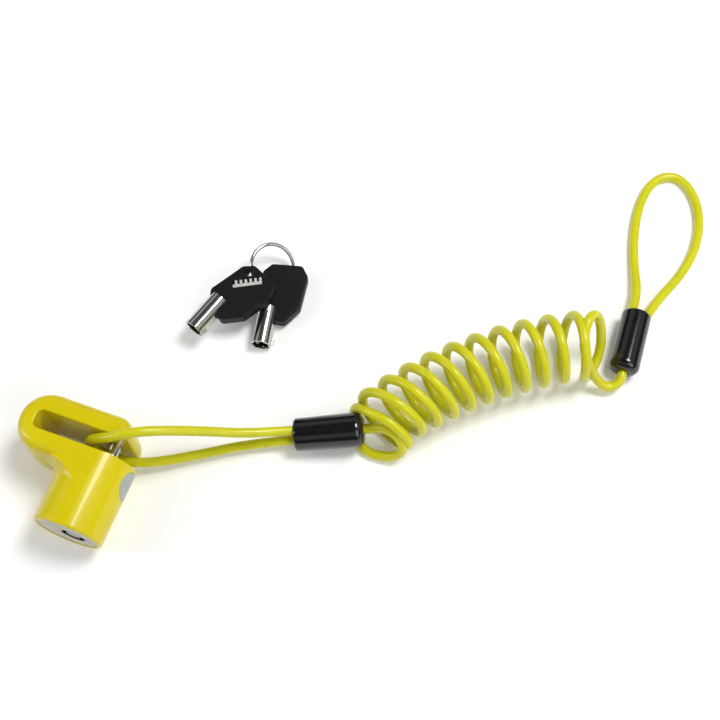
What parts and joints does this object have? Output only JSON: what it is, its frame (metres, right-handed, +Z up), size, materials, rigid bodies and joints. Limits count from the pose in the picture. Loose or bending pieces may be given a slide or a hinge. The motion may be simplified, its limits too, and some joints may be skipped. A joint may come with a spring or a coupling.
{
  "type": "disc brake lock",
  "caption": "Motorcycle disc brake lock with a sliding key-operated locking pin, a coiled reminder cable with a hand loop, and two tubular keys on a split ring.",
  "frame": {"origin": "centre of the brake disc slot, on the locking pin's axis at mid-thickness", "axes": "+X along the slot to its open end, +Y along the barrel from the key face to the slot, +Z up from the surface that the lock lies on"},
  "size_m": [0.2347, 0.2486, 0.034],
  "materials": {
    "body_paint": "glossy yellow enamel over a zinc casting",
    "satin_grey": "satin bluish-grey trim",
    "chrome": "bright nickel plate",
    "steel": "hardened steel, ground",
    "spring_steel": "drawn spring wire",
    "brass": "turned brass",
    "seal_rubber": "black nitrile rubber",
    "cable_vinyl": "yellow vinyl sleeve over wire rope",
    "cap_black": "glossy black moulding",
    "key_black": "satin black moulding",
    "ferrule_aluminium": "swaged aluminium"
  },
  "bodies": {
    "lock": {"lock_body": "body_paint", "side_badge": "satin_grey", "retaining_screw": "steel", "return_spring": "spring_steel", "cable_lock_loop": "cable_vinyl", "cable_coil": "cable_vinyl", "cable_coil_lead": "cable_vinyl", "cable_hand_loop": "cable_vinyl", "crimp_cap_a": "cap_black", "crimp_cap_b": "cap_black", "ferrule_a": "ferrule_aluminium", "ferrule_b": "ferrule_aluminium"},
    "cylinder": {"cylinder_housing": "chrome", "wiper_seal": "seal_rubber", "keyway_bushing": "chrome", "tumbler_sleeve": "brass", "driver_pins": "steel", "pin_springs": "spring_steel", "rear_cap": "steel", "locking_pin": "chrome"},
    "plug": {"spindle": "steel", "key_pins": "brass", "tail_cam": "steel"},
    "latch": {"latch_bolt": "steel"},
    "key_ring": {"split_ring": "chrome"},
    "key_1": {"key_1_tube": "chrome", "key_1_bow": "key_black", "key_1_plate": "chrome"},
    "key_2": {"key_2_tube": "chrome", "key_2_bow": "key_black", "key_2_plate": "chrome"}
  },
  "joints": [
    {"name": "cylinder_slide", "type": "slide", "parent": "lock", "child": "cylinder", "axis": [0, -1, 0], "range_m": [0, 0.0123], "deforming": ["return_spring"]},
    {"name": "plug_turn", "type": "hinge", "parent": "cylinder", "child": "plug", "pos_m": [0, -0.0272, 0], "axis": [0, 1, 0], "range_deg": [0, 90]},
    {"name": "latch_slide", "type": "slide", "parent": "cylinder", "child": "latch", "axis": [-1, 0, 0], "range_m": [0, 0.00151]},
    {"name": "keys_lift", "type": "slide", "parent": "lock", "child": "key_ring", "axis": [0, 0, 1], "range_m": [0, 0.06]},
    {"name": "key_1_swing", "type": "hinge", "parent": "key_ring", "child": "key_1", "pos_m": [0.01986, 0.09348, -0.00176], "axis": [0, 0, 1], "range_deg": [-3, 3]},
    {"name": "key_2_swing", "type": "hinge", "parent": "key_ring", "child": "key_2", "pos_m": [0.02761, 0.09431, -0.0088], "axis": [0, 0, 1], "range_deg": [-3, 3]}
  ],
  "couplings": [
    {"joint": "latch_slide", "follows": "plug_turn", "m_per_rad": 0.000954}
  ]
}
